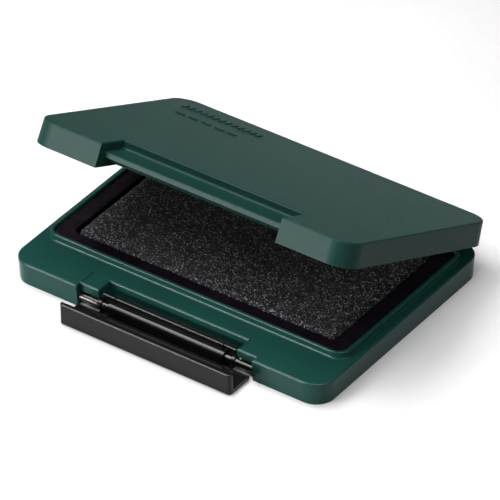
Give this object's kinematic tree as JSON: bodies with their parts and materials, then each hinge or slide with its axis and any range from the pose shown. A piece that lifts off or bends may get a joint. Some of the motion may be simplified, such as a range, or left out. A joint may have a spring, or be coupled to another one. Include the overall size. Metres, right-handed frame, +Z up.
{
  "type": "ink pad",
  "caption": "Flat plastic ink pad case with a hinged lid, a folding front latch and an inked cloth pad set in a bordered tray.",
  "frame": {"origin": "centre of the base's flat underside, on the surface that it stands on", "axes": "+Z up, -Y towards the latch (front), +X to the right along the long side"},
  "size_m": [0.1104, 0.097, 0.0483],
  "materials": {
    "case_plastic": "fine satin",
    "latch_plastic": "satin",
    "pin_steel": "satin",
    "tray_plastic": "smooth",
    "felt": "ink-soaked felt",
    "pad_cloth": "ink-soaked woven cloth"
  },
  "bodies": {
    "base": {"base_case": "case_plastic", "latch_pin": "pin_steel", "hinge_pins": "pin_steel", "pad_tray": "tray_plastic", "felt_core": "felt", "pad_cloth": "pad_cloth"},
    "lid": {"lid": "case_plastic"},
    "latch": {"latch": "latch_plastic"}
  },
  "joints": [
    {"name": "lid_hinge", "type": "hinge", "parent": "base", "child": "lid", "pos_m": [0, 0.0427, 0.0029], "axis": [-1, 0, 0], "range_deg": [-25.3, 84.7]},
    {"name": "latch_pivot", "type": "hinge", "parent": "base", "child": "latch", "pos_m": [0, -0.0384, 0.0026], "axis": [-1, 0, 0], "range_deg": [0, 90]}
  ]
}
